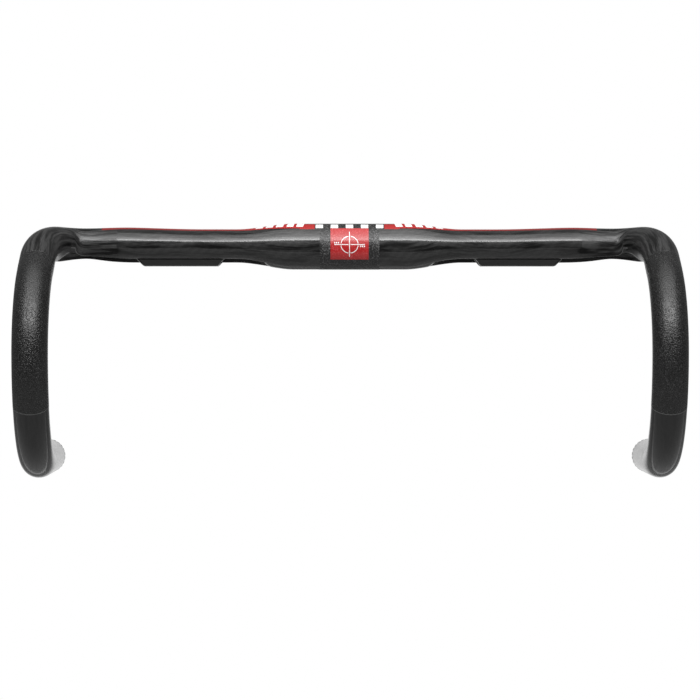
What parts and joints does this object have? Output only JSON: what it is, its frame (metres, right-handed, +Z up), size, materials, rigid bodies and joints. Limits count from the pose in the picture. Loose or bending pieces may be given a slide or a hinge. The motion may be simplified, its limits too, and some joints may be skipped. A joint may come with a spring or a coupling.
{
  "type": "drop handlebar",
  "caption": "Moulded drop handlebar with a round stem clamp, flattened tops with underside cable channels, two round hooks and expanding end plugs.",
  "frame": {"origin": "centre of the stem clamp barrel, on its axis and halfway along it", "axes": "+X along the clamp axis to the rider's left, +Z up, -Y towards the front of the bike; the hooks reach towards -Y and the drops run back towards +Y"},
  "size_m": [0.4522, 0.1605, 0.1751],
  "materials": {
    "carbon_tops": "clear-coated carbon weave, gritty band at the clamp",
    "carbon_hooks": "clear-coated carbon with a gritty matt grip zone",
    "carbon_inner": "bare moulded carbon",
    "guide_carbon": "satin moulded carbon",
    "red_film": "printed film under lacquer",
    "white_film": "printed film under lacquer",
    "cap_plastic": "fine moulded texture",
    "expander_rubber": "moulded rubber",
    "cone_aluminium": "turned",
    "screw_steel": "black oxide"
  },
  "bodies": {
    "bar": {"top_section": "carbon_tops", "left_hook": "carbon_hooks", "left_bond_sleeve": "carbon_inner", "left_cable_guide": "guide_carbon", "left_red_band": "red_film", "left_white_stripes": "white_film", "right_hook": "carbon_hooks", "right_bond_sleeve": "carbon_inner", "right_cable_guide": "guide_carbon", "right_red_band": "red_film", "right_white_stripes": "white_film", "badge_panel": "red_film", "badge_scale": "white_film", "rotation_marks": "white_film"},
    "left_plug": {"left_plug_cap": "cap_plastic", "left_plug_expander": "expander_rubber"},
    "left_screw": {"left_plug_screw": "screw_steel"},
    "left_cone": {"left_plug_cone": "cone_aluminium"},
    "right_plug": {"right_plug_cap": "cap_plastic", "right_plug_expander": "expander_rubber"},
    "right_screw": {"right_plug_screw": "screw_steel"},
    "right_cone": {"right_plug_cone": "cone_aluminium"}
  },
  "joints": [
    {"name": "left_plug_pull", "type": "slide", "parent": "bar", "child": "left_plug", "axis": [0.0279, 0.9996, 0], "range_m": [0, 0.045]},
    {"name": "left_screw_turn", "type": "hinge", "parent": "left_plug", "child": "left_screw", "pos_m": [0.21405, 0.05001, -0.14696], "axis": [0.0279, 0.9996, 0], "range_deg": [0, 1440]},
    {"name": "left_cone_travel", "type": "slide", "parent": "left_plug", "child": "left_cone", "axis": [-0.0279, -0.9996, 0], "range_m": [0, 0.0033]},
    {"name": "right_plug_pull", "type": "slide", "parent": "bar", "child": "right_plug", "axis": [-0.0279, 0.9996, 0], "range_m": [0, 0.045]},
    {"name": "right_screw_turn", "type": "hinge", "parent": "right_plug", "child": "right_screw", "pos_m": [-0.21405, 0.05001, -0.14696], "axis": [-0.0279, 0.9996, 0], "range_deg": [0, 1440]},
    {"name": "right_cone_travel", "type": "slide", "parent": "right_plug", "child": "right_cone", "axis": [0.0279, -0.9996, 0], "range_m": [0, 0.0033]}
  ],
  "couplings": [
    {"joint": "left_cone_travel", "follows": "left_screw_turn", "m_per_rad": 0.00012732},
    {"joint": "right_cone_travel", "follows": "right_screw_turn", "m_per_rad": 0.00012732}
  ]
}
